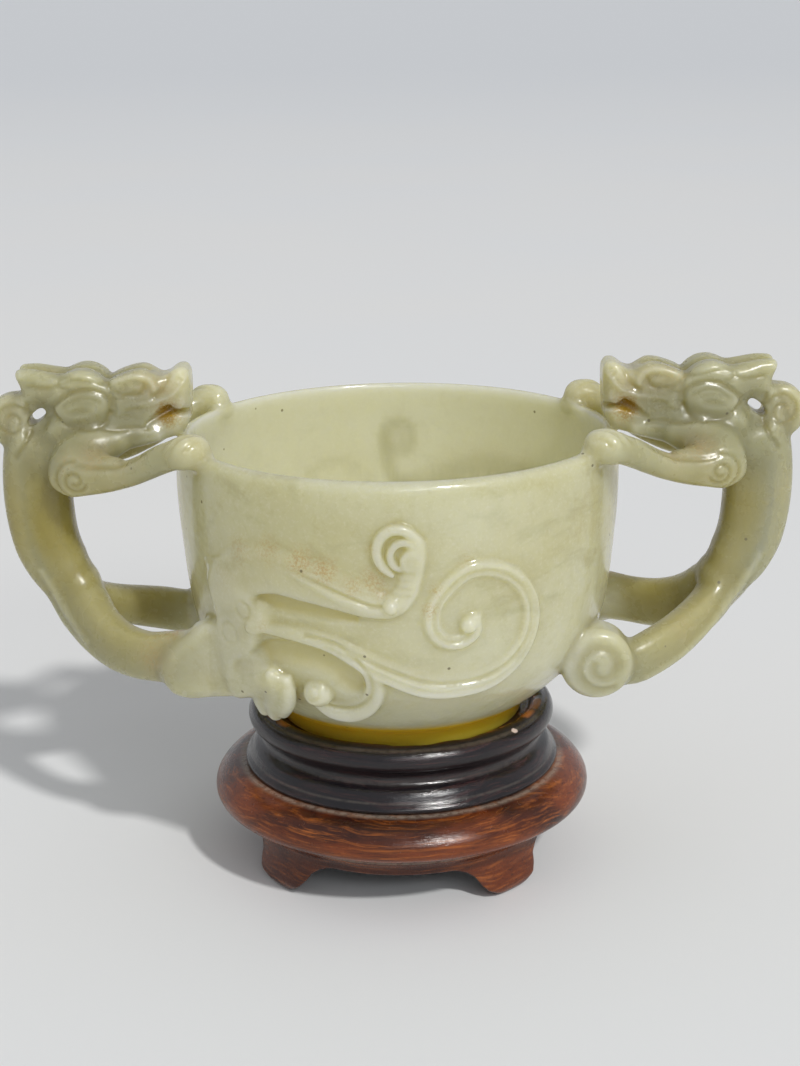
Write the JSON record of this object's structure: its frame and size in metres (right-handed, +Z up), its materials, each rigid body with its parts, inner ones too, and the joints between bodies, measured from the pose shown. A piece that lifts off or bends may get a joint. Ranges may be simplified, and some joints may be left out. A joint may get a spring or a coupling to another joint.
{
  "type": "jade cup on wooden stand",
  "caption": "Carved jade cup with a dragon handle at each side, lifting out of a fitted turned and carved hardwood stand.",
  "frame": {"origin": "on the table below the middle of the stand", "axes": "+Z up, +X along the line of the two handles, -Y towards the viewer"},
  "size_m": [0.1334, 0.075, 0.0849],
  "materials": {
    "jade": "waxy polish, translucent pale yellow-green",
    "dark_wood": "near-black lacquered hardwood, glossy and worn",
    "red_wood": "dark red-brown hardwood with orange grain, glossy"
  },
  "bodies": {
    "stand": {"stand_foot_ring": "red_wood", "stand_drum": "red_wood", "stand_seat": "dark_wood"},
    "cup": {"jade_cup": "jade"}
  },
  "joints": [
    {"name": "cup_lift", "type": "slide", "parent": "stand", "child": "cup", "axis": [0, 0, 1], "range_m": [0, 0.05]}
  ]
}
